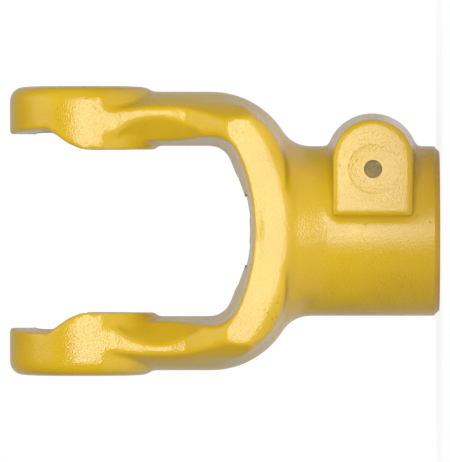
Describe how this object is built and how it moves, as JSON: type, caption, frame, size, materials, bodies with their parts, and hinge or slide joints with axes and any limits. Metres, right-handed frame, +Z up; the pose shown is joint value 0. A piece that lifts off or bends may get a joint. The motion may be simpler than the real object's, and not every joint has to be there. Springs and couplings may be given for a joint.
{
  "type": "forged yoke",
  "caption": "Painted forged fork yoke for a drive shaft joint: two bored ears, a splined hub and a sprung push pin in a side boss.",
  "frame": {"origin": "centre of the spline bore on the hub's flat end face", "axes": "+Z up along the hub axis towards the ears, +X along the ear bores on the side of the pin boss, +Y towards the pin's button"},
  "size_m": [0.092, 0.0734, 0.1365],
  "materials": {
    "paint": "glossy yellow enamel over a forged skin",
    "pin_steel": "dull, slightly browned steel",
    "ring_steel": "plain turned steel",
    "spring_steel": "drawn spring wire"
  },
  "bodies": {
    "forging": {"yoke": "paint", "retaining_ring": "ring_steel", "pin_spring": "spring_steel"},
    "pin": {"push_pin": "pin_steel"}
  },
  "joints": [
    {"name": "pin_press", "type": "slide", "parent": "forging", "child": "pin", "axis": [0, -1, 0], "range_m": [0, 0.012], "stiffness_N_per_m": 1500, "springref_m": -0.006, "deforming": ["pin_spring"]}
  ]
}
